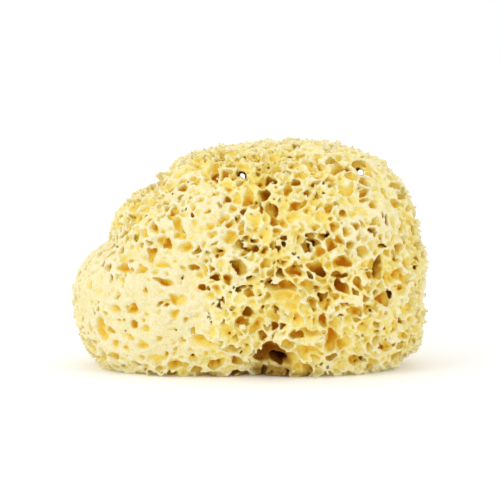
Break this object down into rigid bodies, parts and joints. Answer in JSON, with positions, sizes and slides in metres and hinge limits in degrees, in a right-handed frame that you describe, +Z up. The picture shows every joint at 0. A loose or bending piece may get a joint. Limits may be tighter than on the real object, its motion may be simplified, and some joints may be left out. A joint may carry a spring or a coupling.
{
  "type": "sea sponge",
  "caption": "Natural honeycomb sea sponge, a rounded block riddled with round pores and deep canals, with a flat cut base to rest on",
  "frame": {"origin": "bottom centre of the box round the sponge, on the flat cut that it rests on", "axes": "+Z up, front towards -Y, the long side of the block along X"},
  "size_m": [0.1485, 0.1059, 0.0951],
  "materials": {
    "sponge": "dry matt spongin fibre, pale cream yellow with deeper orange brown pores"
  },
  "bodies": {
    "root": {"sponge": "sponge"}
  },
  "joints": []
}
